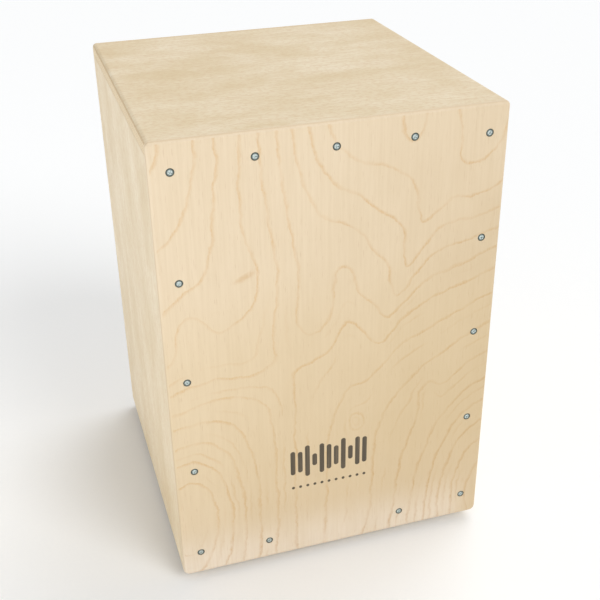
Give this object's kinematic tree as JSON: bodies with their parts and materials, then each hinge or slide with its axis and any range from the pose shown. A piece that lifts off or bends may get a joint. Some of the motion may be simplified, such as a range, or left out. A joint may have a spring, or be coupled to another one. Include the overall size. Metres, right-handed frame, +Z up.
{
  "type": "box cajon",
  "caption": "Small plywood box drum: a screwed-on striking plate in front, a round sound hole behind, and a swivelling snare bar inside that leans two fans of wires on the plate.",
  "frame": {"origin": "on the floor, under the middle of the box's footprint", "axes": "+Z up; the striking plate faces -Y and the sound hole +Y; +X is to the right of someone who faces the striking plate"},
  "size_m": [0.3, 0.309, 0.436],
  "materials": {
    "birch_face_veneer": "rotary-cut birch face veneer, satin clear lacquer",
    "birch_plywood": "birch plywood, matt clear lacquer, plies seen at the edges",
    "pine_batten": "planed softwood, unfinished",
    "beech": "planed beech, unfinished",
    "zinc_plated_steel": "bright zinc plate",
    "snare_steel": "coiled steel wire, bright",
    "black_rubber": "moulded black rubber, matt",
    "grey_felt": "pressed wool felt, dark grey"
  },
  "bodies": {
    "box": {"front_plate": "birch_face_veneer", "back_panel": "birch_plywood", "top_panel": "birch_plywood", "bottom_panel": "birch_plywood", "left_side_panel": "birch_plywood", "right_side_panel": "birch_plywood", "left_snare_cheek": "birch_plywood", "right_snare_cheek": "birch_plywood", "front_left_batten": "pine_batten", "front_right_batten": "pine_batten", "front_top_batten": "pine_batten", "front_bottom_batten": "pine_batten", "rear_left_batten": "pine_batten", "rear_right_batten": "pine_batten", "rear_top_batten": "pine_batten", "rear_bottom_batten": "pine_batten", "front_plate_screw_01": "zinc_plated_steel", "front_plate_screw_02": "zinc_plated_steel", "front_plate_screw_03": "zinc_plated_steel", "front_plate_screw_04": "zinc_plated_steel", "front_plate_screw_05": "zinc_plated_steel", "front_plate_screw_06": "zinc_plated_steel", "front_plate_screw_07": "zinc_plated_steel", "front_plate_screw_08": "zinc_plated_steel", "front_plate_screw_09": "zinc_plated_steel", "front_plate_screw_10": "zinc_plated_steel", "front_plate_screw_11": "zinc_plated_steel", "front_plate_screw_12": "zinc_plated_steel", "front_plate_screw_13": "zinc_plated_steel", "front_plate_screw_14": "zinc_plated_steel", "front_plate_screw_15": "zinc_plated_steel", "foot_screw_front_left": "zinc_plated_steel", "foot_screw_front_right": "zinc_plated_steel", "foot_screw_rear_left": "zinc_plated_steel", "foot_screw_rear_right": "zinc_plated_steel", "foot_washer_front_left": "zinc_plated_steel", "foot_washer_front_right": "zinc_plated_steel", "foot_washer_rear_left": "zinc_plated_steel", "foot_washer_rear_right": "zinc_plated_steel", "rubber_foot_front_left": "black_rubber", "rubber_foot_front_right": "black_rubber", "rubber_foot_rear_left": "black_rubber", "rubber_foot_rear_right": "black_rubber", "left_felt_washer": "grey_felt", "right_felt_washer": "grey_felt"},
    "snare": {"snare_bar": "beech", "left_pivot_dowel": "beech", "right_pivot_dowel": "beech", "left_snare_wires": "snare_steel", "right_snare_wires": "snare_steel", "left_snare_clamp": "zinc_plated_steel", "right_snare_clamp": "zinc_plated_steel", "clamp_screw_left_1": "zinc_plated_steel", "clamp_screw_left_2": "zinc_plated_steel", "clamp_screw_right_1": "zinc_plated_steel", "clamp_screw_right_2": "zinc_plated_steel"}
  },
  "joints": [
    {"name": "snare_bar_swivel", "type": "hinge", "parent": "box", "child": "snare", "pos_m": [0, -0.1125, 0.238], "axis": [-1, 0, 0], "range_deg": [0, 25]}
  ]
}
